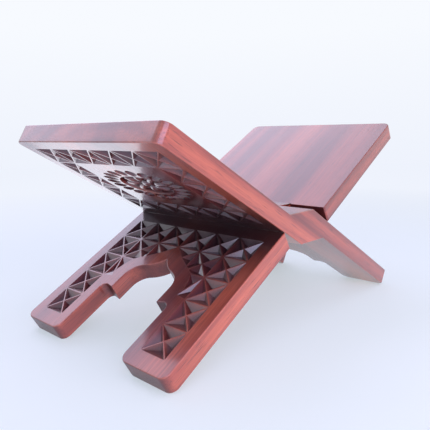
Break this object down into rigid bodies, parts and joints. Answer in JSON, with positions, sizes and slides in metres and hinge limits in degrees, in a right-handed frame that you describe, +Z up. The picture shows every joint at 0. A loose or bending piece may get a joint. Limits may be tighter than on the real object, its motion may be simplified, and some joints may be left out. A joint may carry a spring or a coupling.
{
  "type": "folding book stand",
  "caption": "X-shaped folding wooden book stand: two leaves interlock through pinless knuckles, with boards above to cradle an open book and arched legs below.",
  "frame": {"origin": "on the ground, under the middle of the hinge line, with the stand open", "axes": "+X to the reader's right, +Y along the hinge away from the reader, +Z up"},
  "size_m": [0.2818, 0.1524, 0.15],
  "materials": {
    "left_wood": "polished reddish-brown hardwood",
    "right_wood": "polished reddish-brown hardwood"
  },
  "bodies": {
    "left_leaf": {"left_leaf": "left_wood"},
    "right_leaf": {"right_leaf": "right_wood"}
  },
  "joints": [
    {"name": "fold", "type": "hinge", "parent": "left_leaf", "child": "right_leaf", "pos_m": [0, 0, 0.07522], "axis": [0, -1, 0], "range_deg": [0, 121]}
  ]
}
